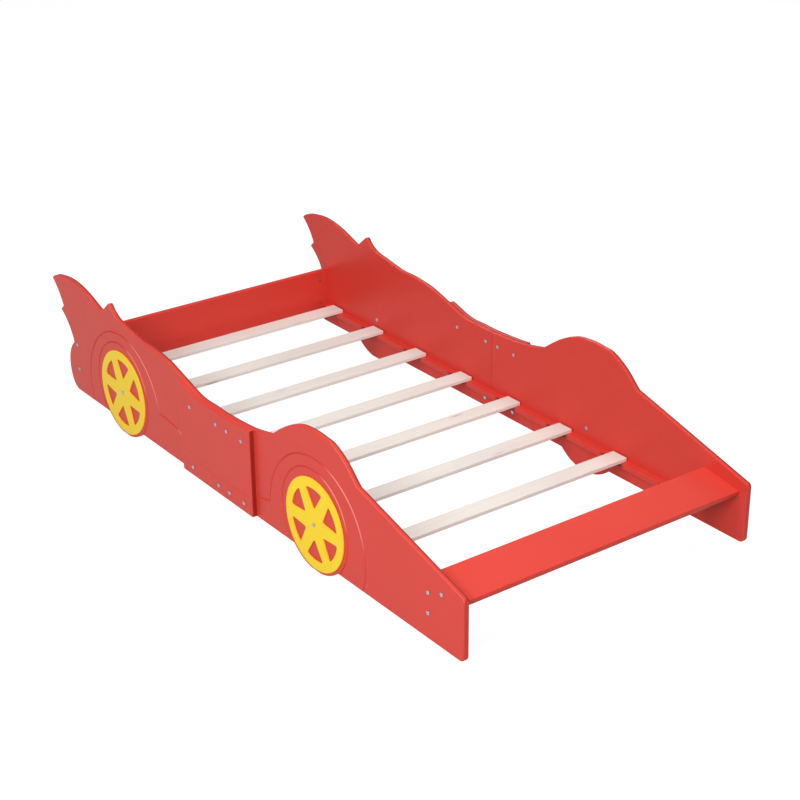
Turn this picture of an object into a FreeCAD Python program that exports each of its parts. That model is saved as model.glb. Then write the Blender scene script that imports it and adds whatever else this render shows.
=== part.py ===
import FreeCAD, Part
import math
import os

V = FreeCAD.Vector
os.makedirs("parts", exist_ok=True)

# A child's bed in the shape of a racing car, in flat-packed painted board.
# +X points to the nose, +Y to the car's left, +Z up. The origin lies on the floor,
# under the middle of the bed. Everything is in millimetres.

# ---- the bed as a whole
bed_length = 2220.0        # tail tip to nose
bed_width = 1024.0         # over the two side panels
bed_height = 439.4         # floor to the crest of fin and fender
side_board = 16.5          # thickness of a side panel
cross_board = 16.5         # thickness of the boards between the sides
edge_round = 3.0           # rounding of every board edge
fit_gap = 0.3              # clearance round anything that is pushed into a hole

# ---- outline of a side panel, heights over the floor
sill_height = 40.5         # straight bottom edge
door_height = 312.0        # lowest part of the top edge
door_back = 30.0           # its middle, behind the seam
nose_height = 226.5        # where the bonnet line reaches the nose
seam_x = -17.0             # butt joint between the rear and front halves
fin_tip_drop = 31.5        # tail features, below the crest
fin_notch_drop = 113.5
tooth_drop = 130.5
waist_drop = 225.5
fin_foot_drop = 47.5
fender_foot_drop = 97.0
bonnet_foot_drop = 89.0
fin_notch_in = 63.5        # tail features, ahead of the tail tip
tooth_in = 42.5
waist_in = 121.0
bumper_in = 75.5
tip_over = 2.4             # sharp tip past the tail, before it is rounded
heel_in = 137.0
crest_in = 129.0
fin_foot_in = 338.5
peak_in = 397.0
peak_over = 1.6            # sharp peak over the crest, before it is rounded
saddle_in = 654.5          # level stretch behind the peak
saddle_height = 376.0
fender_foot_back = 880.0   # nose features, behind the nose
fender_crest_back = 645.0
bonnet_foot_back = 456.5
nose_round = 13.0
chin_round = 18.0
corner_round = 4.0         # router radius in the small corners
soft_round = 9.0           # peak and fender corners

# ---- wheels
front_axle_back = 663.5    # behind the nose
rear_axle_in = 457.5       # ahead of the tail tip
axle_height = 149.5
wheel_radius = 141.0
wheel_thickness = 3.5
wheel_windows = 6
window_radius = 112.5
window_round = 5.0
spoke_hub = 46.0           # width of a spoke where it leaves the hub
spoke_rim = 36.0           # and where it meets the rim
front_wheel_turn = -0.5    # degrees that each wheel stands turned
rear_wheel_turn = -6.5
wheel_gap = 0.3            # running gap on both faces of a wheel
axle_fit = 0.05            # running fit of the wheel on its bolt
tyre_radius = 159.5        # foot of the panel, cut to the shape of a tyre
tyre_back = 4.5            # middle of the tyre, behind the axle
foot_flat = 50.0           # flat where the tyre foot meets the floor
foot_round = 60.0          # and its run into the curve of the tyre

# ---- lines routed into the outer faces
line_width = 6.0
line_depth = 2.6
tyre_line_radius = 161.5   # circle round a wheel
tyre_line_rise = 6.0       # its centre over the axle
front_arch_radius = 235.0  # wheel arches, and their centres from the axle
front_arch_drop = 30.0
front_arch_ahead = 4.0
rear_arch_radius = 232.5
rear_arch_drop = 31.0
rear_arch_ahead = 3.0
sill_line_rear = 163.0     # heights of the line from arch to arch
sill_line_knee = 151.0
sill_line_ramp = 104.0
sill_line_low = 92.0
sill_line_front = 126.0

# ---- cover plates over the seams
plate_thickness = 15.0
plate_rear_gap = 196.5     # its rear edge, ahead of the saddle
plate_front_gap = 90.5     # its front edge, behind the foot of the fender
plate_corner = 5.0

# ---- boards between the sides
rear_board_in = 147.0      # its middle, ahead of the tail tip
rear_board_bottom = 84.0
rear_board_top = 251.5
hood_rear_back = 165.5     # rear top edge of the hood, behind the nose
hood_rear_height = 221.5
hood_depth = 138.0
hood_slope = 10.0          # degrees, down to the nose
upright_back = 147.5       # middle of the board under the hood
upright_bottom = 98.5

# ---- slats and their rails
slat_count = 7
slat_width = 60.0
slat_thickness = 12.0
slat_end_gap = 5.5         # slat end to side panel
slat_round = 1.5
first_slat = 68.0          # its middle, ahead of the rear board
last_slat = 350.0          # its middle, behind the upright board
rail_width = 24.5
rail_height = 18.0
rail_top = 111.5
rail_round = 1.5

# ---- fasteners
bolt_d = 6.0
bolt_head_d = 11.5
bolt_head = 2.2
bolt_socket = 4.0          # across flats
sleeve_d = 8.0
sleeve_length = 14.0
thread_fit = 0.05
axle_d = 8.0
axle_web = 5.0             # board left under the shoulder of a wheel bolt
bolt_short = 3.0           # bolt end to the inner face of a side panel
cross_nut_d = 10.0
cross_nut_length = 13.0
cross_nut_in = 36.0        # from the end of a board
cross_nut_slot = 1.2
board_bolt_reach = 12.0    # bolt past the middle of its cross nut
screw_d = 4.0
screw_head_d = 8.0
screw_length = 34.0
dowel_d = 8.0
pin_d = 6.0
plate_bolt_drop = 39.5     # upper bolts, below the door
plate_bolt_rise = 30.0     # lower bolts, above the bottom edge
plate_bolts_rear = (0.123, 0.742)    # shares of the way from the seam to the plate's edge
plate_bolts_front = (0.196, 0.709)
rear_bolt_rises = (39.5, 127.5)      # above the bottom of the rear board
upright_bolt_rises = (20.0, 81.0)    # above the bottom of the upright board
hood_bolt_in = 76.5        # along the hood from its rear edge
seam_dowel_rises = (99.5, 164.5)     # above the bottom edge
seam_dowel_length = 40.0
hood_dowel_steps = (35.0, 115.0)
hood_dowel_length = 30.0
dowel_web = 6.0            # board left under a dowel in a side panel
upright_dowel_pitch = 300.0
upright_dowel_length = 24.0
upright_dowel_in = 9.0     # how far it goes into the hood
slat_pin_length = 20.0
slat_pin_in_slat = 8.0

# ---- planes that follow from the sizes
tail_x = -bed_length / 2
nose_x = bed_length / 2
outer_y = bed_width / 2
inner_y = outer_y - side_board
plate_y = outer_y + plate_thickness
front_axle_x = nose_x - front_axle_back
rear_axle_x = tail_x + rear_axle_in
round_side = min(edge_round, 0.4 * side_board)
round_plate = min(edge_round, 0.4 * plate_thickness)
round_cross = min(edge_round, 0.4 * cross_board)
rear_board_x = tail_x + rear_board_in
rear_board_face = rear_board_x + cross_board / 2
upright_x = nose_x - upright_back
upright_face = upright_x - cross_board / 2
rail_y = inner_y - rail_width
slat_top = rail_top + slat_thickness
slat_half = inner_y - slat_end_gap
middle_y = (outer_y + inner_y) / 2
plate_rear = tail_x + saddle_in + plate_rear_gap
plate_front = nose_x - fender_foot_back - plate_front_gap
rear_arch_x = rear_axle_x + rear_arch_ahead
rear_arch_z = axle_height - rear_arch_drop
front_arch_x = front_axle_x + front_arch_ahead
front_arch_z = axle_height - front_arch_drop
wheel_room = wheel_thickness + 2 * wheel_gap
round_slat = min(slat_round, 0.4 * slat_thickness)
round_rail = min(rail_round, 0.4 * rail_height)

ahead_x = V(1, 0, 0)
inward = V(0, 1, 0)        # for a piece of the right side
outward = V(0, -1, 0)
up = V(0, 0, 1)
tilt = math.radians(hood_slope)
hood_along = V(math.cos(tilt), 0, -math.sin(tilt))
hood_down = V(-math.sin(tilt), 0, -math.cos(tilt))
hood_edge = V(nose_x - hood_rear_back, 0, hood_rear_height)


def at(x, z, y=0.0):
    return V(x, y, z)


def in_hood(along, deep):
    # point in the hood: so far from its rear edge, so far under its top face
    return hood_edge + hood_along * along + hood_down * deep


def hood_under(x):
    # point on the underside of the hood
    return at(x, hood_edge.z - (x - hood_edge.x) * math.tan(tilt) - cross_board / math.cos(tilt))


def line(a, b):
    return Part.makeLine(a, b)


def arc(a, m, b):
    return Part.Arc(a, m, b).toShape()


def bow(a, b, rise):
    # arc from a to b that stands off its chord by a share of it
    chord = b - a
    return arc(a, (a + b) / 2 + V(-chord.z, 0, chord.x) * rise, b)


def curve(points, start=None, end=None):
    spline = Part.BSplineCurve()
    if start is not None and end is not None:
        spline.interpolate(Points=points, InitialTangent=start, FinalTangent=end)
    else:
        spline.interpolate(Points=points)
    return spline.toShape()


def between(a, b, steps):
    # points at a share of the way from a to b, raised off the chord by a share of the run
    run = abs(b.x - a.x)
    return [a + (b - a) * share + V(0, 0, rise * run) for share, rise in steps]


def tyre_foot(axle_x):
    # its four corners from back to front, and the edges between them
    cx = axle_x - tyre_back
    # centre height that puts the flat of the foot on the floor
    cz = math.sqrt(tyre_radius ** 2 - (foot_flat / 2) ** 2)
    reach = math.sqrt(tyre_radius ** 2 - (cz - sill_height) ** 2)
    mid = math.radians(0.5 * (math.degrees(math.atan2(cz, foot_flat / 2)) +
                              math.degrees(math.atan2(cz - sill_height, reach))))
    dx, dz = tyre_radius * math.cos(mid), tyre_radius * math.sin(mid)
    back, ahead = at(cx - reach, sill_height), at(cx + reach, sill_height)
    heel, toe = at(cx - foot_flat / 2, 0), at(cx + foot_flat / 2, 0)
    edges = [arc(back, at(cx - dx, cz - dz), heel), line(heel, toe),
             arc(toe, at(cx + dx, cz - dz), ahead)]
    return [back, heel, toe, ahead], edges


def side_corners():
    top = bed_height
    return {
        "tip": at(tail_x - tip_over, top - fin_tip_drop),
        "notch": at(tail_x + fin_notch_in, top - fin_notch_drop),
        "tooth": at(tail_x + tooth_in, top - tooth_drop),
        "waist": at(tail_x + waist_in, top - waist_drop),
        "heel": at(tail_x + heel_in, sill_height),
        "chin": at(nose_x, sill_height),
        "nose": at(nose_x, nose_height),
        "bonnet": at(nose_x - bonnet_foot_back, top - bonnet_foot_drop),
        "fender": at(nose_x - fender_foot_back, top - fender_foot_drop),
        "peak": at(tail_x + peak_in, top + peak_over),
        "fin": at(tail_x + fin_foot_in, top - fin_foot_drop),
    }


def side_outline():
    c = side_corners()
    top = bed_height
    edges = []
    # rear edge of the fin, tooth, waist and bumper
    edges.append(bow(c["tip"], c["notch"], 0.057))
    edges.append(line(c["notch"], c["tooth"]))
    edges.append(bow(c["tooth"], c["waist"], 0.089))
    bumper = tail_x + bumper_in
    rise, run = c["waist"].z - sill_height, c["heel"].x - bumper
    steps = ((0.31, 0.84), (0.065, 0.65), (0.0, 0.47), (0.08, 0.28), (0.31, 0.11), (0.61, 0.025))
    belly = [at(bumper + run * ahead, sill_height + rise * over) for ahead, over in steps]
    edges.append(curve([c["waist"]] + belly + [c["heel"]]))
    # bottom edge with the two tyre feet
    rear_foot, arcs = tyre_foot(rear_axle_x)
    edges.append(line(c["heel"], rear_foot[0]))
    edges += arcs
    front_foot, arcs = tyre_foot(front_axle_x)
    edges.append(line(rear_foot[-1], front_foot[0]))
    edges += arcs
    edges.append(line(front_foot[-1], c["chin"]))
    edges.append(line(c["chin"], c["nose"]))
    edges.append(line(c["nose"], c["bonnet"]))
    # fender, over its crest
    crest = at(nose_x - fender_crest_back, top)
    fender = [c["bonnet"]]
    fender += between(c["bonnet"], crest, ((0.095, 0.039), (0.20, 0.089), (0.33, 0.129),
                                           (0.47, 0.147), (0.64, 0.139), (0.83, 0.068)))
    fender.append(crest)
    fender += between(crest, c["fender"], ((0.16, 0.059), (0.31, 0.101), (0.48, 0.114),
                                           (0.64, 0.103), (0.79, 0.068)))
    fender.append(c["fender"])
    edges.append(curve(fender))
    # door dip and the climb to the peak
    door = at(seam_x - door_back, door_height)
    saddle = at(tail_x + saddle_in, saddle_height)
    dip = [c["fender"]]
    dip += between(c["fender"], door, ((0.16, -0.018), (0.32, -0.031), (0.52, -0.032),
                                     (0.75, -0.020)))
    dip.append(door)
    dip += between(door, saddle, ((0.12, -0.016), (0.21, -0.032), (0.32, -0.035), (0.42, -0.023),
                                  (0.52, -0.010), (0.62, 0.0025), (0.72, 0.0135), (0.84, 0.012)))
    dip.append(saddle)
    dip += between(saddle, c["peak"], ((0.14, -0.038), (0.30, -0.065), (0.46, -0.079),
                                       (0.62, -0.092), (0.76, -0.104), (0.87, -0.090)))
    dip.append(c["peak"])
    edges.append(curve(dip))
    edges.append(line(c["peak"], c["fin"]))
    # crest of the fin
    hump = at(tail_x + crest_in, top)
    fin = [c["fin"]]
    fin += between(c["fin"], hump, ((0.15, 0.012), (0.32, 0.033), (0.51, 0.047), (0.69, 0.045),
                                     (0.88, 0.024)))
    fin.append(hump)
    fin += between(hump, c["tip"], ((0.35, 0.054), (0.63, 0.073), (0.86, 0.054)))
    fin.append(c["tip"])
    edges.append(curve(fin))
    return Part.Wire(edges)


def corner_edges(solid, corners):
    found = []
    for edge in solid.Edges:
        a, b = edge.Vertexes[0].Point, edge.Vertexes[-1].Point
        if abs(a.x - b.x) > 0.01 or abs(a.z - b.z) > 0.01 or abs(a.y - b.y) < 1.0:
            continue
        for p in corners:
            if abs(a.x - p.x) < 0.05 and abs(a.z - p.z) < 0.05:
                found.append(edge)
    return found


def face_edges(solid, levels):
    # edges that lie wholly in one of the planes y = level
    found = []
    for edge in solid.Edges:
        box = edge.BoundBox
        for level in levels:
            if abs(box.YMin - level) < 1e-4 and abs(box.YMax - level) < 1e-4:
                found.append(edge)
    return found


def side_blank(outside, thickness):
    # right side in one piece, with its corners rounded but its rim still sharp
    c = side_corners()
    solid = Part.Face(side_outline()).extrude(inward * thickness)
    solid.translate(outward * outside)
    feet = tyre_foot(rear_axle_x)[0] + tyre_foot(front_axle_x)[0]
    small = [c["tip"], c["notch"], c["tooth"], c["waist"], c["fin"]] + feet[0::3]
    for radius, places in ((corner_round, small), (soft_round, [c["peak"], c["fender"], c["bonnet"]]),
                           (foot_round, feet[1:3] + feet[5:7]), (nose_round, [c["nose"]]),
                           (chin_round, [c["chin"]])):
        solid = solid.makeFillet(radius, corner_edges(solid, places))
    return solid


def whole_side():
    blank = side_blank(outer_y, side_board)
    return blank.makeFillet(round_side, face_edges(blank, (-outer_y, -inner_y)))


def emit(name, pieces):
    solids = []
    for piece in (pieces if isinstance(pieces, (list, tuple)) else [pieces]):
        solids += piece.Solids
    shape = solids[0] if len(solids) == 1 else Part.makeCompound(solids)
    shape.exportStep("parts/" + name + ".step")
    box = shape.BoundBox
    print("%-26s %2d solid%s  valid %s  %9.1f cm3  x %8.1f..%8.1f y %8.1f..%8.1f z %7.1f..%7.1f" % (
        name, len(solids), " " if len(solids) == 1 else "s", shape.isValid(), shape.Volume / 1000,
        box.XMin, box.XMax, box.YMin, box.YMax, box.ZMin, box.ZMax))


def v_line(a, m, b, face_y):
    # V-shaped cut along the arc a-m-b, in a face that looks to -y
    circle = arc(a, m, b).Curve
    centre, radius = circle.Center, circle.Radius
    turns = [math.degrees(math.atan2(p.z - centre.z, p.x - centre.x)) for p in (a, m, b)]
    sweep = (turns[2] - turns[0]) % 360.0
    if (turns[1] - turns[0]) % 360.0 > sweep:
        sweep -= 360.0
    # the tool stands proud of the face, so that its mouth keeps the full width there
    proud = 0.2 * line_depth
    half = 0.5 * line_width * 1.2
    out = (a - centre).normalize()
    middle = V(a.x, face_y, a.z)
    mouth = [middle + out * half + outward * proud, middle - out * half + outward * proud]
    tool = Part.Face(Part.makePolygon([mouth[0], middle + inward * line_depth, mouth[1], mouth[0]]))
    return tool.revolve(centre, outward, sweep)


def ring_line(cx, cz, radius, start, end, face_y):
    # V-shaped cut round (cx, cz), from one angle over the level to another
    points = []
    for turn in (start, (start + end) / 2, end):
        angle = math.radians(turn)
        points.append(at(cx + radius * math.cos(angle), cz + radius * math.sin(angle)))
    return v_line(*points, face_y)


def angle_at(cz, radius, height):
    # angle over the level at which a circle reaches a height
    return math.degrees(math.asin((height - cz) / radius))


def arch_end(cx, cz, radius, height, side):
    return at(cx + side * math.sqrt(radius ** 2 - (height - cz) ** 2), height)


def sill_lines(face_y):
    # one line from arch to arch that follows the dip of the door, in three arcs
    start = arch_end(rear_arch_x, rear_arch_z, rear_arch_radius, sill_line_rear, 1)
    end = arch_end(front_arch_x, front_arch_z, front_arch_radius, sill_line_front, -1)
    span = end.x - start.x
    knee = at(start.x + 0.18 * span, sill_line_knee)
    ramp = at(start.x + 0.362 * span, sill_line_ramp)
    low = at(start.x + 0.62 * span, sill_line_low)
    over = (start + knee) / 2 + up * 0.003 * span
    under = (knee + ramp) / 2 - up * 0.005 * span
    return [v_line(start, over, knee, face_y), v_line(knee, under, ramp, face_y),
            v_line(ramp, low, end, face_y)]


def ring_lines(face_y):
    # tyre circles and wheel arches, which run out over the bottom edge
    over = sill_height - line_width
    cuts = []
    tyre_z = axle_height + tyre_line_rise
    for axle_x in (rear_axle_x, front_axle_x):
        low = angle_at(tyre_z, tyre_line_radius, over)
        cuts.append(ring_line(axle_x - tyre_back, tyre_z, tyre_line_radius, low, 180 - low, face_y))
    low = angle_at(rear_arch_z, rear_arch_radius, over)
    foot = angle_at(rear_arch_z, rear_arch_radius, sill_line_rear)
    cuts.append(ring_line(rear_arch_x, rear_arch_z, rear_arch_radius, foot, 180 - low, face_y))
    low = angle_at(front_arch_z, front_arch_radius, over)
    foot = angle_at(front_arch_z, front_arch_radius, sill_line_front)
    cuts.append(ring_line(front_arch_x, front_arch_z, front_arch_radius, low, 180 - foot, face_y))
    return cuts


def slab(x0, x1, y0, y1, z0, z1):
    return Part.makeBox(x1 - x0, y1 - y0, z1 - z0, V(x0, y0, z0))


def rod(start, along, d, length):
    return Part.makeCylinder(d / 2, length, start, along)


def bore(start, along, d, length):
    # hole for a rod of diameter d that starts 1 mm before the face it is drilled in
    return rod(start - along, along, d + 2 * fit_gap, length + 1 + fit_gap)


def through_side(x, z, d):
    return rod(at(x, z, -outer_y - 1), inward, d + 2 * fit_gap, side_board + 2)


def along_y(solid):
    # long edges of a board that lies across the bed
    return [e for e in solid.Edges if e.BoundBox.YLength > inner_y]


def key_socket(start, along, across, depth):
    # six-sided hole for a key
    side = V(0, 0, 1) if abs(along.z) < 0.5 else V(1, 0, 0)
    other = along.cross(side)
    reach = across / 2 / math.cos(math.pi / 6)
    ring = []
    for k in range(7):
        turn = math.radians(60 * k)
        ring.append(start + (side * math.cos(turn) + other * math.sin(turn)) * reach)
    return Part.Face(Part.makePolygon(ring)).extrude(along * depth)


def low_head(seat, along):
    # low round head that sits on a face, with its rim rounded and a key socket
    top = seat - along * bolt_head
    head = rod(top, along, bolt_head_d, bolt_head)
    rim = [e for e in head.Edges if isinstance(e.Curve, Part.Circle) and (e.Curve.Center - top).Length < 1e-6]
    head = head.makeFillet(0.35 * bolt_head, rim)
    return head.cut(key_socket(top, along, bolt_socket, 0.6 * bolt_head))


def bolt(seat, along, length):
    return low_head(seat, along).fuse(rod(seat, along, bolt_d, length)).removeSplitter()


def wheel_bolt(x, z):
    # the wheel turns on the thick shoulder, which stops at the face of the panel
    seat = at(x, z, -outer_y - wheel_room)
    body = bolt(seat, inward, wheel_room + side_board - bolt_short)
    return body.fuse(rod(seat, inward, axle_d, wheel_room)).removeSplitter()


def sleeve_nut(x, z, length):
    # the same head on the inner face, with a threaded barrel that runs into the panel
    seat = at(x, z, -inner_y)
    body = low_head(seat, outward).fuse(rod(seat, outward, sleeve_d, length)).removeSplitter()
    return body.cut(rod(seat, outward, bolt_d + 2 * thread_fit, length + 1))


def mirrored(shape):
    return shape.mirror(V(0, 0, 0), V(0, 1, 0))


def both_sides(pieces):
    return pieces + [mirrored(piece) for piece in pieces]


def emit_pair(name, piece):
    # each piece is modelled on the right, and its mirror image is the left one
    pieces = piece if isinstance(piece, list) else [piece]
    emit("right_" + name, pieces)
    emit("left_" + name, [mirrored(p) for p in pieces])


# ---- holes and lines of the right side panel
plate_bolt_x = [seam_x + (plate_rear - seam_x) * share for share in plate_bolts_rear]
plate_bolt_x += [seam_x + (plate_front - seam_x) * share for share in plate_bolts_front]
plate_bolt_spots = [(x, z) for z in (door_height - plate_bolt_drop, sill_height + plate_bolt_rise)
                    for x in plate_bolt_x]
rear_bolt_spots = [(rear_board_x, rear_board_bottom + rise) for rise in rear_bolt_rises]
upright_bolt_spots = [(upright_x, upright_bottom + rise) for rise in upright_bolt_rises]
axle_spots = [(rear_axle_x, axle_height), (front_axle_x, axle_height)]
hood_bolt_spot = in_hood(hood_bolt_in, cross_board / 2)
hood_dowel_spots = [in_hood(step, cross_board / 2) for step in hood_dowel_steps]

wheel_sleeve = side_board - axle_web
dowel_in_side = side_board - dowel_web
side_holes = [through_side(x, z, sleeve_d) for x, z in plate_bolt_spots]
side_holes += [through_side(x, z, bolt_d) for x, z in rear_bolt_spots + upright_bolt_spots + axle_spots]
side_holes.append(through_side(hood_bolt_spot.x, hood_bolt_spot.z, bolt_d))
side_holes += [bore(at(x, z, -inner_y), outward, sleeve_d, wheel_sleeve) for x, z in axle_spots]
side_holes += [bore(at(p.x, p.z, -inner_y), outward, dowel_d, dowel_in_side) for p in hood_dowel_spots]
seam_dowels = []
for rise in seam_dowel_rises:
    start = at(seam_x - seam_dowel_length / 2, sill_height + rise, -middle_y)
    seam_dowels.append(rod(start, ahead_x, dowel_d, seam_dowel_length))
    side_holes.append(rod(start - ahead_x * fit_gap, ahead_x, dowel_d + 2 * fit_gap,
                          seam_dowel_length + 2 * fit_gap))
behind_plate = slab(plate_rear, plate_front, -outer_y - side_board, -outer_y + side_board, 0, bed_height)
side_lines = ring_lines(-outer_y) + [tool.cut(behind_plate) for tool in sill_lines(-outer_y)]

# ---- cover plate over the seam
plate = side_blank(plate_y, plate_thickness)
plate = plate.common(slab(plate_rear, plate_front, -plate_y, -outer_y, sill_height, bed_height))
plate_corners = [at(v.X, v.Z) for v in plate.Vertexes
                 if min(abs(v.X - plate_rear), abs(v.X - plate_front)) < 0.01]
plate = plate.makeFillet(plate_corner, corner_edges(plate, plate_corners))
plate = plate.makeFillet(round_plate, face_edges(plate, (-plate_y,)))
plate_holes = [rod(at(x, z, -plate_y - 1), inward, bolt_d + 2 * fit_gap, plate_thickness + 2)
               for x, z in plate_bolt_spots]
plate = plate.cut(plate_holes).cut(sill_lines(-plate_y))
print("cover plate made")

# ---- slats, and the dowels that pin them to the rails
slat_run = upright_face - last_slat - rear_board_face - first_slat
slat_x = [rear_board_face + first_slat + k * slat_run / (slat_count - 1) for k in range(slat_count)]
slat_seat_y = (rail_y + slat_half) / 2
slat_pin_foot = slat_pin_in_slat - slat_pin_length
slats, slat_pins = [], []
for x in slat_x:
    slat = slab(x - slat_width / 2, x + slat_width / 2, -slat_half, slat_half, rail_top, slat_top)
    slat = slat.makeFillet(round_slat, slat.Edges)
    ends = (-slat_seat_y, slat_seat_y)
    slats.append(slat.cut([bore(at(x, rail_top, y), up, pin_d, slat_pin_in_slat) for y in ends]))
    slat_pins += [rod(at(x, rail_top + slat_pin_foot, y), up, pin_d, slat_pin_length) for y in ends]

# ---- rails, each screwed to its panel between the slats
rails, rail_screws = [], []
screw_cone = (screw_head_d - screw_d) / 2
for x0, x1 in ((rear_board_face, seam_x), (seam_x, upright_face)):
    rail = slab(x0, x1, -inner_y, -rail_y, rail_top - rail_height, rail_top)
    front_edges = [e for e in face_edges(rail, (-rail_y,)) if e.BoundBox.ZLength < 1e-3]
    rail = rail.makeFillet(round_rail, front_edges)
    inside = [x for x in slat_x if x0 < x < x1]
    holes = [bore(at(x, rail_top, -slat_seat_y), up * -1, pin_d, -slat_pin_foot) for x in inside]
    stations = [x0] + inside + [x1]
    for a, b in zip(stations, stations[1:]):
        seat = at((a + b) / 2, rail_top - rail_height / 2, -rail_y)
        hole = rod(seat + inward, outward, screw_d + 2 * thread_fit, screw_length + 1 + fit_gap)
        side_holes.append(hole)
        wide, narrow = screw_head_d / 2, screw_d / 2
        sink = Part.makeCone(wide + thread_fit, narrow + thread_fit, screw_cone, seat, outward)
        holes.append(hole.fuse(sink))
        screw = Part.makeCone(wide, narrow, screw_cone, seat, outward)
        screw = screw.fuse(rod(seat + outward * screw_cone, outward, screw_d, screw_length - screw_cone))
        screw = screw.cut(key_socket(seat, outward, 0.4 * screw_head_d, 0.8 * screw_cone))
        rail_screws.append(screw.removeSplitter())
    rails.append(rail.cut(holes))
print("slats and rails made")

panel = whole_side().cut(side_holes).cut(side_lines)
print("side panel drilled and routed")

# ---- boards between the sides
rear_board = slab(rear_board_x - cross_board / 2, rear_board_face, -inner_y, inner_y,
                  rear_board_bottom, rear_board_top)
rear_board = rear_board.makeFillet(round_cross, along_y(rear_board))
section = [in_hood(0, 0), in_hood(hood_depth, 0), in_hood(hood_depth, cross_board), in_hood(0, cross_board)]
hood = Part.Face(Part.makePolygon(section + section[:1])).extrude(inward * 2 * inner_y)
hood.translate(outward * inner_y)
hood = hood.makeFillet(round_cross, along_y(hood))
# the upright board is sawn to the slope of the hood
slope = [hood_under(upright_face), hood_under(upright_x + cross_board / 2)]
section = [at(upright_face, upright_bottom), slope[0], slope[1], at(slope[1].x, upright_bottom)]
upright = Part.Face(Part.makePolygon(section + section[:1])).extrude(inward * 2 * inner_y)
upright.translate(outward * inner_y)
low_edges = [e for e in along_y(upright) if e.BoundBox.ZMax < upright_bottom + 1e-3]
upright = upright.makeFillet(round_cross, low_edges)

# ---- bolts into the ends of the boards, each caught by a cross nut
board_bolts = {"rear": [], "front": []}
cross_nuts = {"rear": [], "front": []}


def join_board(x, z, face, inside, group):
    # a bolt from each side, and its cross nut in the face at that point; gives the holes for them
    holes = []
    for sign in (-1, 1):
        to_middle = inward * -sign
        reach = cross_nut_in + board_bolt_reach
        holes.append(bore(at(x, z, sign * inner_y), to_middle, bolt_d, reach))
        foot = V(face.x, sign * (inner_y - cross_nut_in), face.z)
        holes.append(bore(foot, inside, cross_nut_d, cross_nut_length))
        nut = rod(foot, inside, cross_nut_d, cross_nut_length)
        nut = nut.cut(rod(at(x, z, sign * inner_y), to_middle, bolt_d + 2 * thread_fit, 2 * cross_nut_in))
        slot = Part.makeBox(cross_nut_slot, 2 * cross_nut_d, cross_nut_slot,
                            V(-cross_nut_slot / 2, -cross_nut_d, 0))
        slot.Placement = FreeCAD.Placement(foot, FreeCAD.Rotation(up, inside))
        cross_nuts[group].append(nut.cut(slot))
        board_bolts[group].append(bolt(at(x, z, sign * outer_y), to_middle, side_board + reach))
    return holes


rear_holes, upright_holes = [], []
for x, z in rear_bolt_spots:
    rear_holes += join_board(x, z, at(rear_board_face, z), ahead_x * -1, "rear")
for x, z in upright_bolt_spots:
    upright_holes += join_board(x, z, at(upright_x + cross_board / 2, z), ahead_x * -1, "front")
hood_holes = join_board(hood_bolt_spot.x, hood_bolt_spot.z, in_hood(hood_bolt_in, cross_board),
                        hood_down * -1, "front")

# ---- dowels of the hood, into the side panels and down into the upright board
hood_dowels = []
for spot in hood_dowel_spots:
    for sign in (-1, 1):
        to_middle = inward * -sign
        end = V(spot.x, sign * inner_y, spot.z)
        hood_dowels.append(rod(end - to_middle * dowel_in_side, to_middle, dowel_d, hood_dowel_length))
        hood_holes.append(bore(end, to_middle, dowel_d, hood_dowel_length - dowel_in_side))
for k in (-1, 0, 1):
    top = hood_under(upright_x) + V(0, k * upright_dowel_pitch, upright_dowel_in)
    hood_dowels.append(rod(top, up * -1, dowel_d, upright_dowel_length))
    hole = rod(top + up * fit_gap, up * -1, dowel_d + 2 * fit_gap, upright_dowel_length + 2 * fit_gap)
    hood_holes.append(hole)
    upright_holes.append(hole)
rear_board = rear_board.cut(rear_holes)
hood = hood.cut(hood_holes)
upright = upright.cut(upright_holes)
print("boards made")


# ---- wheels: thin discs with windows between their spokes
def window(turn):
    # three-cornered, between two spokes and the rim
    share = math.pi / wheel_windows
    spread = share - math.asin(spoke_rim / 2 / window_radius)

    def polar(radius, angle):
        whole = math.radians(turn) + angle
        return at(radius * math.cos(whole), radius * math.sin(whole))
    hub = polar(spoke_hub / 2 / math.sin(share), 0)
    low, high = polar(window_radius, -spread), polar(window_radius, spread)
    loop = Part.Wire([line(hub, low), arc(low, polar(window_radius, 0), high), line(high, hub)])
    tool = Part.Face(loop).extrude(outward * (wheel_thickness + 2))
    tool.translate(inward)
    return tool.makeFillet(window_round, [e for e in tool.Edges if e.BoundBox.YLength > wheel_thickness])


def wheel(axle_x, turn):
    disc = rod(V(0, 0, 0), outward, 2 * wheel_radius, wheel_thickness)
    disc = disc.makeFillet(0.3 * wheel_thickness, face_edges(disc, (-wheel_thickness,)))
    cuts = [rod(inward, outward, axle_d + 2 * axle_fit, wheel_thickness + 2)]
    cuts += [window(turn + 90 + k * 360.0 / wheel_windows) for k in range(wheel_windows)]
    disc = disc.cut(cuts)
    disc.translate(at(axle_x, axle_height, -outer_y - wheel_gap))
    return disc


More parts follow.
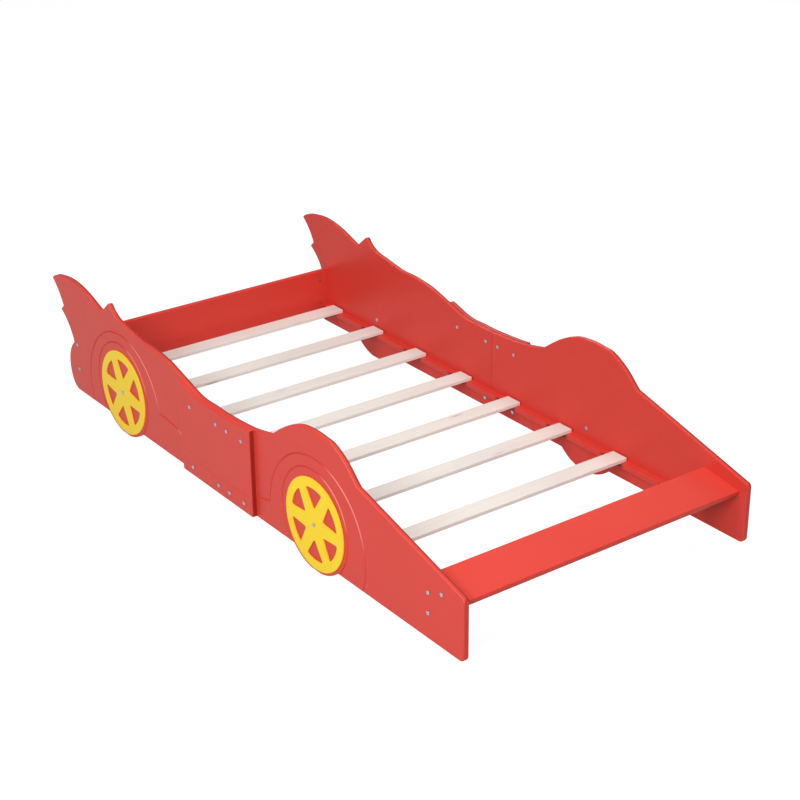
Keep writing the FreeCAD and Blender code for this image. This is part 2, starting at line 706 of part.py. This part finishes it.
# ---- the pieces, one file each
behind = slab(2 * tail_x, seam_x, -bed_width, 0, -bed_height, 2 * bed_height)
emit_pair("rear_side_panel", panel.common(behind))
emit_pair("front_side_panel", panel.cut(behind))
emit_pair("cover_plate", plate)
emit_pair("rear_slat_rail", rails[0])
emit_pair("front_slat_rail", rails[1])
emit_pair("rear_wheel", wheel(rear_axle_x, rear_wheel_turn))
emit_pair("front_wheel", wheel(front_axle_x, front_wheel_turn))
for k, slat in enumerate(slats):
    emit("slat_%d" % (k + 1), slat)
emit("rear_board", rear_board)
emit("hood_board", hood)
emit("hood_upright_board", upright)
emit_pair("plate_bolts", [bolt(at(x, z, -plate_y), inward, plate_thickness + side_board - bolt_short)
                          for x, z in plate_bolt_spots])
emit_pair("plate_nuts", [sleeve_nut(x, z, sleeve_length) for x, z in plate_bolt_spots])
emit_pair("rail_screws", rail_screws)
emit("wheel_bolts", both_sides([wheel_bolt(x, z) for x, z in axle_spots]))
emit("wheel_nuts", both_sides([sleeve_nut(x, z, wheel_sleeve) for x, z in axle_spots]))
emit("rear_board_bolts", board_bolts["rear"])
emit("rear_board_cross_nuts", cross_nuts["rear"])
emit("front_board_bolts", board_bolts["front"])
emit("front_board_cross_nuts", cross_nuts["front"])
emit("seam_dowels", both_sides(seam_dowels))
emit("slat_dowels", slat_pins)
emit("hood_dowels", hood_dowels)
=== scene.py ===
import math

import bpy
from mathutils import Matrix, Vector

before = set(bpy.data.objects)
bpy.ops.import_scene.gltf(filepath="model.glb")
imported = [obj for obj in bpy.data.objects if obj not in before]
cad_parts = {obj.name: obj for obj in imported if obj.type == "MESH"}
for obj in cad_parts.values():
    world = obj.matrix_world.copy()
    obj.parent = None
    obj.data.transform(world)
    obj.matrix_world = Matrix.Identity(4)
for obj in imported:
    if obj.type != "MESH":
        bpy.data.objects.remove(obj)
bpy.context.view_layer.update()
print("bed loaded:", len(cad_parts), "pieces")

# the camera stands where the photograph was taken from
camera = {
    "place": (4.04607, -2.86727, 2.53275),
    "right": (0.595700, 0.803173, -0.007353),
    "down": (0.335740, -0.257309, -0.906129),
    "focalPixels": 1768.7,
    "imagePixels": 800.0,
    "sensor": 36.0,
    "farthest": 60.0,
}


def makeCamera():
    data = bpy.data.cameras.new("photoCamera")
    data.sensor_width = camera["sensor"]
    data.lens = camera["focalPixels"] / camera["imagePixels"] * camera["sensor"]
    data.clip_end = camera["farthest"]
    eye = bpy.data.objects.new("photoCamera", data)
    bpy.context.scene.collection.objects.link(eye)
    right = Vector(camera["right"]).normalized()
    up = -Vector(camera["down"])
    up = (up - right * up.dot(right)).normalized()
    turn = Matrix((right, up, right.cross(up))).transposed().to_4x4()
    eye.matrix_world = Matrix.Translation(camera["place"]) @ turn
    bpy.context.scene.camera = eye


makeCamera()
print("camera set")


class Wire:
    # a shader socket that adds, multiplies and compares like a number
    def __init__(self, tree, socket):
        self.tree = tree
        self.socket = socket

    def maths(self, operation, *values):
        node = self.tree.nodes.new("ShaderNodeMath")
        node.operation = operation
        for slot, value in zip(node.inputs, values):
            if isinstance(value, Wire):
                self.tree.links.new(value.socket, slot)
            else:
                slot.default_value = float(value)
        return Wire(self.tree, node.outputs[0])

    def __add__(self, other):
        return self.maths("ADD", self, other)

    def __radd__(self, other):
        return self.maths("ADD", other, self)

    def __sub__(self, other):
        return self.maths("SUBTRACT", self, other)

    def __rsub__(self, other):
        return self.maths("SUBTRACT", other, self)

    def __mul__(self, other):
        return self.maths("MULTIPLY", self, other)

    def __rmul__(self, other):
        return self.maths("MULTIPLY", other, self)

    def __truediv__(self, other):
        return self.maths("DIVIDE", self, other)

    def __abs__(self):
        return self.maths("ABSOLUTE", self)

    def sine(self):
        return self.maths("SINE", self)

    def fraction(self):
        return self.maths("FRACT", self)

    def most(self, other):
        return self.maths("MAXIMUM", self, other)


class Finish:
    # the node tree of a material, or of the sky
    def __init__(self, owner):
        owner.use_nodes = True
        self.owner = owner
        self.tree = owner.node_tree
        self.tree.nodes.clear()

    def node(self, kind, settings=None, **inputs):
        # inputs are named as the sockets are, with _ for a blank, or p0, p1 ... by place
        node = self.tree.nodes.new("ShaderNode" + kind)
        for key, value in (settings or {}).items():
            setattr(node, key, value)
        for key, value in inputs.items():
            byPlace = key[0] == "p" and key[1:].isdigit()
            socket = node.inputs[int(key[1:])] if byPlace else node.inputs[key.replace("_", " ")]
            if isinstance(value, Wire):
                self.tree.links.new(value.socket, socket)
            elif isinstance(value, tuple) and len(value) == 3 and len(socket.default_value) == 4:
                socket.default_value = value + (1.0,)
            else:
                socket.default_value = value
        return node

    def wire(self, node, output=0):
        return Wire(self.tree, node.outputs[output])

    def place(self):
        return self.wire(self.node("TexCoord"), "Object")

    def split(self, vector):
        axes = self.node("SeparateXYZ", p0=vector)
        return [self.wire(axes, k) for k in range(3)]

    def facing(self):
        # how far the surface faces along each axis of the piece
        return self.split(self.wire(self.node("TexCoord"), "Normal"))

    def stretched(self, vector, scale):
        return self.wire(self.node("Mapping", Vector=vector, Scale=scale))

    def noise(self, vector, scale, detail=2.0, rough=0.5):
        return self.wire(self.node("TexNoise", Vector=vector, Scale=scale, Detail=detail, Roughness=rough))

    def grain(self, vector, stretch, detail=2.0, rough=0.5):
        return self.noise(self.stretched(vector, stretch), 1.0, detail, rough)

    def step(self, value, low, high):
        # smooth step from 0 at low to 1 at high
        settings = {"interpolation_type": "SMOOTHSTEP"}
        return self.wire(self.node("MapRange", settings, p0=value, p1=low, p2=high))

    def between(self, value, low, high, soft):
        # 1 from low to high, fading to 0 over the width soft outside them
        return self.step(value, low - soft, low) * self.step(value, high + soft, high)

    def mixed(self, share, first, second, how="MIX"):
        settings = {"data_type": "RGBA", "blend_type": how}
        return self.wire(self.node("Mix", settings, p0=share, p6=first, p7=second), 2)

    def shaded(self, colour, factor):
        # colour times a number that changes over the surface
        grey = self.wire(self.node("CombineColor", p0=factor, p1=factor, p2=factor))
        return self.mixed(1.0, colour, grey, "MULTIPLY")

    def bump(self, height, distance, **under):
        return self.wire(self.node("Bump", Height=height, Distance=distance, Strength=1.0, **under))

    def surface(self, **inputs):
        shader = self.node("BsdfPrincipled", **inputs)
        self.node("OutputMaterial", Surface=self.wire(shader))
        return self.owner


# satin lacquer over smooth board, cloudy, with a fine orange peel;
# noises are given by size, detail and roughness
lacquer = {
    "red": (0.690, 0.052, 0.036),
    "redThin": (0.705, 0.062, 0.045),
    "yellow": (0.985, 0.700, 0.010),
    "yellowThin": (0.990, 0.720, 0.022),
    "roughness": 0.34,
    "specular": 0.15,
    "cloud": (2.6, 3.0, 0.55),
    "cloudThin": 0.6,        # share of the thin paint in the clouds
    "cloudTone": 0.05,
    "cloudRough": 0.10,
    "fine": (640.0, 2.0, 0.6),
    "fineTone": 0.02,
    "fineRough": 0.05,
    "darkest": 0.97,
    "peel": (310.0, 2.0),
    "peelDepth": 0.00010,
    "wave": (22.0, 1.0),
    "waveDepth": 0.00022,
}

# sawn edges drink the paint: a shade deeper and less smooth
sawnEdge = {"face": 0.75, "edge": 0.25, "fibres": (90.0, 700.0, 90.0), "shade": 0.05, "rough": 0.05}

# paint rubbed off over the floor
scuffed = {
    "height": 0.010,
    "patches": (160.0, 4.0),
    "patchLow": 0.50,
    "patchHigh": 0.62,
    "share": 0.5,
    "colour": (0.36, 0.20, 0.16),
    "rough": 0.2,
}

# painted highlight: thin light lines painted on the walls of the routed lines and on the roundings
# of the right side, where they face up and to the nose
paintedHighlight = {
    "colour": (0.960, 0.400, 0.330),
    "share": {"side": 0.55, "plate": 0.20},
    "aheadLow": 0.52,        # how far the surface faces up and ahead
    "aheadHigh": 0.64,
    "footLow": 0.12,         # none below this height
    "footHigh": 0.15,
    "slopeLow": 0.66,        # how far it faces sideways
    "slopeHigh": 0.84,
    "slopeSoft": 0.04,
    "middle": 0.10,          # fades out on the way to the left side
}

# painted shade: the upper roundings that face the car's left are painted deeper in tone
paintedRoundingShade = {
    "shade": 0.50,
    "reach": 0.0095,
    "core": 0.4,
    "edges": {"side": (-0.4955, 0.5120), "plate": (0.5270,)},
    "upLow": 0.10,
    "upHigh": 0.40,
}

# painted shadow on the rails under the slats, where no light falls
rail = {
    "firstSlat": -0.895,
    "slatStep": 0.25125,
    "behind": 0.026,
    "reach": 0.056,
    "core": 0.6,
    "shade": 0.78,
    "sideLow": 0.3,
    "sideHigh": 0.7,
}

# the seam between the two halves of a side, open by a hair on the inside
seam = {"place": -0.017, "reach": 0.0011, "core": 0.3, "shade": 0.55}

# the cover plates: their end faces get painted shade, and the line across them gets painted light so that
# it shows faintly
plate = {
    "endLow": 0.80,
    "endHigh": 0.97,
    "endShade": 0.50,
    "lineFoot": 0.065,
    "lineHead": 0.200,
    "lineSoft": 0.005,
    "linePaintedLight": 0.12,
    "lineTop": 0.5268,       # distances from the middle of the bed
    "lineDeep": 0.5264,
    "lineAcross": 0.6,
    "lineAlong": 0.4,
}


def paintHighlightLines(f, colour, place, facing, piece):
    # painted highlight: lightens the groove walls and roundings that face up and to the nose
    y, z = f.split(place)[1:]
    upAhead = f.step((facing[0] + facing[2]) * math.sqrt(0.5), paintedHighlight["aheadLow"], paintedHighlight["aheadHigh"])
    upAhead = upAhead * f.step(z, paintedHighlight["footLow"], paintedHighlight["footHigh"])
    sloping = f.between(abs(facing[1]), paintedHighlight["slopeLow"], paintedHighlight["slopeHigh"], paintedHighlight["slopeSoft"])
    sloping = sloping * f.step(y, paintedHighlight["middle"], -paintedHighlight["middle"])
    return f.mixed(upAhead * sloping * paintedHighlight["share"][piece], colour, paintedHighlight["colour"])


def paintRoundingShade(f, colour, place, facing, piece):
    # painted shade along the upper roundings that face the car's left
    y = f.split(place)[1]
    reach = paintedRoundingShade["reach"]
    core = paintedRoundingShade["core"] * reach
    away = sum(f.step(abs(y - edge), reach, core) for edge in paintedRoundingShade["edges"][piece])
    away = away * f.step(facing[2], paintedRoundingShade["upLow"], paintedRoundingShade["upHigh"])
    return f.shaded(colour, 1.0 - paintedRoundingShade["shade"] * away)


def paintSlatShadows(f, colour, place, facing):
    # painted shadow: darkens the rails' side faces under each slat
    # distance along the rail from the nearest slat, a little behind its middle
    x = f.split(place)[0]
    turns = (x - (rail["firstSlat"] - rail["behind"])) / rail["slatStep"] + 0.5
    along = abs(turns.fraction() - 0.5) * rail["slatStep"]
    under = f.step(along, rail["reach"], rail["core"] * rail["reach"])
    sideways = f.step(abs(facing[1]), rail["sideLow"], rail["sideHigh"])
    return f.shaded(colour, 1.0 - rail["shade"] * under * sideways)


def seamHair(f, colour, place):
    x = f.split(place)[0]
    hair = f.step(abs(x - seam["place"]), seam["reach"], seam["core"] * seam["reach"])
    return f.shaded(colour, 1.0 - seam["shade"] * hair)


def paintPlateEndShade(f, colour, facing):
    # painted shade on the end faces of the plates, where they meet the sides
    end = f.step(abs(facing[0]), plate["endLow"], plate["endHigh"])
    return f.shaded(colour, 1.0 - plate["endShade"] * end)


def paintPlateLineLight(f, colour, place, facing):
    # painted light: the routed line across the plate is mixed towards the highlight colour
    y, z = f.split(place)[1:]
    inLine = f.between(z, plate["lineFoot"], plate["lineHead"], plate["lineSoft"])
    inLine = inLine * f.step(abs(y), plate["lineTop"], plate["lineDeep"])
    inLine = inLine * f.step(abs(facing[0]), plate["lineAcross"], plate["lineAlong"])
    return f.mixed(plate["linePaintedLight"] * inLine, colour, paintedHighlight["colour"])


def lacquerFinish(name, paint, piece="board"):
    f = Finish(bpy.data.materials.new(name))
    place = f.place()
    cloud = f.noise(place, *lacquer["cloud"])
    fine = f.noise(place, *lacquer["fine"])
    tone = lacquer["darkest"] + lacquer["cloudTone"] * cloud + lacquer["fineTone"] * fine
    colour = f.mixed(cloud * lacquer["cloudThin"], lacquer[paint], lacquer[paint + "Thin"])
    colour = f.shaded(colour, tone)
    rough = lacquer["roughness"] + lacquer["cloudRough"] * (cloud - 0.5)
    rough = rough + lacquer["fineRough"] * (fine - 0.5)
    if piece != "board":
        facing = f.facing()
        edge = f.step(abs(facing[1]), sawnEdge["face"], sawnEdge["edge"])
        fibres = f.grain(place, sawnEdge["fibres"])
        colour = f.shaded(colour, 1.0 - sawnEdge["shade"] * edge * fibres)
        rough = rough + sawnEdge["rough"] * edge
    if piece in ("side", "plate"):
        # painted highlight on grooves and roundings, then painted shade on the upper roundings
        colour = paintHighlightLines(f, colour, place, facing, piece)
        colour = paintRoundingShade(f, colour, place, facing, piece)
    if piece == "rail":
        # painted shadow under the slats
        colour = paintSlatShadows(f, colour, place, facing)
    if piece == "side":
        colour = seamHair(f, colour, place)
    if piece == "plate":
        # painted shade on the plate ends, then painted light in the line across the plate
        colour = paintPlateEndShade(f, colour, facing)
        colour = paintPlateLineLight(f, colour, place, facing)
    scuff = f.step(f.split(place)[2], scuffed["height"], 0.0)
    scuff = scuff * f.step(f.noise(place, *scuffed["patches"]), scuffed["patchLow"], scuffed["patchHigh"])
    colour = f.mixed(scuff * scuffed["share"], colour, scuffed["colour"])
    rough = rough + scuff * scuffed["rough"]
    waves = f.bump(f.noise(place, *lacquer["wave"]), lacquer["waveDepth"])
    peel = f.bump(f.noise(place, *lacquer["peel"]), lacquer["peelDepth"], Normal=waves)
    return f.surface(Base_Color=colour, Roughness=rough, Normal=peel,
                     Specular_IOR_Level=lacquer["specular"])


# bare planed wood, with its grain along the slat
slatWood = {
    "early": (0.800, 0.757, 0.700),
    "late": (0.700, 0.632, 0.560),
    "grey": (0.690, 0.670, 0.635),
    "mark": (0.300, 0.200, 0.140),
    "ringsPerMetre": 95.0,
    "ringWeight": 0.35,
    "ringLean": 0.6,
    "bend": (7.0, 1.6, 7.0),
    "bendBy": 16.0,
    "lateInRings": 0.32,
    "lateInFibres": 0.10,
    "fibres": (1300.0, 20.0, 1300.0),
    "streaks": (260.0, 3.0, 260.0),
    "cloud": (6.0, 2.4, 6.0),
    "cloudLow": 0.45,
    "cloudHigh": 0.75,
    "greyShare": 0.45,
    "pores": (900.0, 34.0, 900.0),
    "poreLow": 0.70,
    "poreHigh": 0.80,
    "poreShade": 0.16,
    "knots": (20.0, 3.2, 20.0),
    "knotEdge": 0.13,
    "knotCore": 0.03,
    "knotShare": 0.55,
    "sawnLow": 0.5,
    "sawnHigh": 0.9,
    "endShade": 0.10,
    "paintedSideLight": 0.12,
    "roughness": 0.62,
    "fibreRough": 0.10,
    "ringDepth": 0.4,
    "fibreDepth": 0.00010,
}


def slatFinish():
    f = Finish(bpy.data.materials.new("paleSlatWood"))
    place = f.place()
    x, _, z = f.split(place)
    # growth rings: sine of the distance across the slat, bent by a slow noise along it
    bend = f.grain(place, slatWood["bend"])
    rings = (x + z * slatWood["ringLean"]) * slatWood["ringsPerMetre"] + bend * slatWood["bendBy"]
    rings = 0.5 + 0.5 * (rings * (2 * math.pi * slatWood["ringWeight"])).sine()
    fibres = f.grain(place, slatWood["fibres"], 3.0, 0.6)
    streaks = f.grain(place, slatWood["streaks"])
    late = rings * slatWood["lateInRings"] * streaks + slatWood["lateInFibres"] * fibres
    colour = f.mixed(late, slatWood["early"], slatWood["late"])
    cloud = f.step(f.grain(place, slatWood["cloud"]), slatWood["cloudLow"], slatWood["cloudHigh"])
    colour = f.mixed(cloud * slatWood["greyShare"], colour, slatWood["grey"])
    # short dark pores and the odd small knot
    pores = f.step(f.grain(place, slatWood["pores"], 1.0), slatWood["poreLow"], slatWood["poreHigh"])
    colour = f.shaded(colour, 1.0 - slatWood["poreShade"] * pores)
    cells = f.node("TexVoronoi", Vector=f.stretched(place, slatWood["knots"]), Scale=1.0)
    knot = f.step(f.wire(cells, "Distance"), slatWood["knotEdge"], slatWood["knotCore"])
    colour = f.mixed(knot * slatWood["knotShare"], colour, slatWood["mark"])
    # sawn ends are darker; the long edges are painted lighter, a painted light
    edges, ends = [f.step(abs(side), slatWood["sawnLow"], slatWood["sawnHigh"]) for side in f.facing()[:2]]
    colour = f.shaded(colour, 1.0 - slatWood["endShade"] * ends)
    # painted light on the long edges
    colour = f.shaded(colour, 1.0 + slatWood["paintedSideLight"] * edges)
    rough = slatWood["roughness"] + slatWood["fibreRough"] * fibres
    planed = f.bump(fibres + rings * slatWood["ringDepth"], slatWood["fibreDepth"])
    return f.surface(Base_Color=colour, Roughness=rough, Normal=planed)


# turned hardwood
dowel = {
    "light": (0.62, 0.42, 0.24),
    "dark": (0.44, 0.27, 0.14),
    "grain": (500.0, 500.0, 60.0),
    "grainDepth": 0.00008,
    "roughness": 0.65,
    "grainRough": 0.1,
}


def dowelFinish():
    f = Finish(bpy.data.materials.new("dowelWood"))
    grain = f.grain(f.place(), dowel["grain"], 3.0)
    colour = f.mixed(grain, dowel["light"], dowel["dark"])
    rough = dowel["roughness"] + dowel["grainRough"] * grain
    return f.surface(Base_Color=colour, Roughness=rough, Normal=f.bump(grain, dowel["grainDepth"]))


# zinc plated steel, with a cool cast and fine turning marks
boltZinc = {
    "colour": (0.48, 0.62, 0.70),
    "dull": (0.30, 0.40, 0.48),
    "roughness": 0.28,
    "patches": (420.0, 3.0),
    "patchRough": 0.16,
    "marks": (1800.0, 300.0, 1800.0),
    "markDepth": 0.00003,
}


def zincFinish():
    f = Finish(bpy.data.materials.new("zincPlatedSteel"))
    place = f.place()
    patches = f.noise(place, *boltZinc["patches"])
    colour = f.mixed(patches, boltZinc["colour"], boltZinc["dull"])
    rough = boltZinc["roughness"] + boltZinc["patchRough"] * patches
    marks = f.bump(f.grain(place, boltZinc["marks"]), boltZinc["markDepth"])
    return f.surface(Base_Color=colour, Metallic=1.0, Roughness=rough, Normal=marks)


redSides = lacquerFinish("redSideLacquer", "red", "side")
redPlates = lacquerFinish("redPlateLacquer", "red", "plate")
redBoards = lacquerFinish("redBoardLacquer", "red")
redRails = lacquerFinish("redRailLacquer", "red", "rail")
yellowWheels = lacquerFinish("yellowWheelLacquer", "yellow", "wheel")
paleSlats = slatFinish()
dowelWood = dowelFinish()
zinc = zincFinish()
print("finishes made")

# the first part of a name that fits gives a piece its finish
finishes = (
    ("rail_screws", redBoards),    # driven before the rails were painted
    ("bolts", zinc),
    ("nuts", zinc),
    ("dowels", dowelWood),
    ("side_panel", redSides),
    ("cover_plate", redPlates),
    ("_wheel", yellowWheels),
    ("rail", redRails),
    ("board", redBoards),
    ("slat", paleSlats),
)


def dress(name, piece):
    piece.data.materials.clear()
    piece.data.materials.append(next(finish for part, finish in finishes if part in name))


for name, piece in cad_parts.items():
    dress(name, piece)
print("pieces dressed")


# floor, which shows white to the camera and keeps a faint shadow
studio = {
    "floorSize": 30.0,
    "floorDrop": 0.0003,
    "floorColour": (0.50, 0.50, 0.50),
    "shownWhite": 0.915,
    "shownShade": (0.20, 0.20, 0.20),
    "white": (1.0, 1.0, 1.0),
    "skyColour": (1.0, 0.99, 0.98),
    "skyStrength": 0.33,     # on the side that the key lamp stands on
    "skyShade": 0.40,        # share taken off it on the other side
    "skyLow": -0.5,
    "skyHigh": 0.7,
}

# the spark is small, for thin lights along the grooves and rounded edges
lamps = {
    "key": {"place": (3.5, -3.8, 3.7), "aim": (0.2, 0.0, 0.2), "size": 3.0, "power": 190.0},
    "top": {"place": (0.8, 0.4, 4.6), "aim": (0.0, 0.0, 0.0), "size": 4.0, "power": 110.0},
    "back": {"place": (-3.6, 4.6, 3.0), "aim": (0.0, 0.0, 0.2), "size": 3.0, "power": 50.0},
    "spark": {"place": (0.7, -4.4, 3.3), "aim": (0.2, -0.5, 0.2), "size": 0.9, "power": 46.0},
}


def shownRays(f):
    # 1 for rays that show the floor, straight, in a gloss or through glass
    path = f.node("LightPath")
    seen = f.wire(path, "Is Camera Ray")
    return seen.most(f.wire(path, "Is Glossy Ray")).most(f.wire(path, "Is Transmission Ray"))


def makeFloor():
    half = studio["floorSize"] / 2
    square = ((-half, -half), (half, -half), (half, half), (-half, half))
    corners = [(x, y, -studio["floorDrop"]) for x, y in square]
    mesh = bpy.data.meshes.new("studioFloor")
    mesh.from_pydata(corners, [], [(0, 1, 2, 3)])
    floor = bpy.data.objects.new("studioFloor", mesh)
    bpy.context.scene.collection.objects.link(floor)
    f = Finish(bpy.data.materials.new("studioFloorPaper"))
    plain = f.wire(f.node("BsdfDiffuse", Color=studio["floorColour"]))
    shade = f.wire(f.node("BsdfDiffuse", Color=studio["shownShade"]))
    white = f.wire(f.node("Emission", Color=studio["white"], Strength=studio["shownWhite"]))
    shown = f.wire(f.node("AddShader", p0=shade, p1=white))
    mixed = f.node("MixShader", p0=shownRays(f), p1=plain, p2=shown)
    f.node("OutputMaterial", Surface=f.wire(mixed))
    mesh.materials.append(f.owner)


def makeSky():
    world = bpy.data.worlds.new("studioSky")
    bpy.context.scene.world = world
    f = Finish(world)
    y = f.split(f.wire(f.node("TexCoord"), "Generated"))[1]
    glow = 1.0 - studio["skyShade"] * f.step(y, studio["skyLow"], studio["skyHigh"])
    colour = f.shaded(studio["skyColour"], glow)
    soft = f.wire(f.node("Background", Color=colour, Strength=studio["skyStrength"]))
    white = f.wire(f.node("Background", Color=studio["white"], Strength=1.0))
    straight = f.wire(f.node("LightPath"), "Is Camera Ray")
    mixed = f.node("MixShader", p0=straight, p1=soft, p2=white)
    f.node("OutputWorld", Surface=f.wire(mixed))


def makeLamp(name, lamp):
    data = bpy.data.lights.new(name + "Lamp", "AREA")
    data.shape = "DISK"
    data.size = lamp["size"]
    data.energy = lamp["power"]
    stand = bpy.data.objects.new(name + "Lamp", data)
    bpy.context.scene.collection.objects.link(stand)
    stand.location = lamp["place"]
    ray = Vector(lamp["aim"]) - Vector(lamp["place"])
    stand.rotation_euler = ray.to_track_quat("-Z", "Y").to_euler()


makeFloor()
makeSky()
for name, lamp in lamps.items():
    makeLamp(name, lamp)
bpy.context.scene.view_settings.view_transform = "Standard"
print("studio lit")
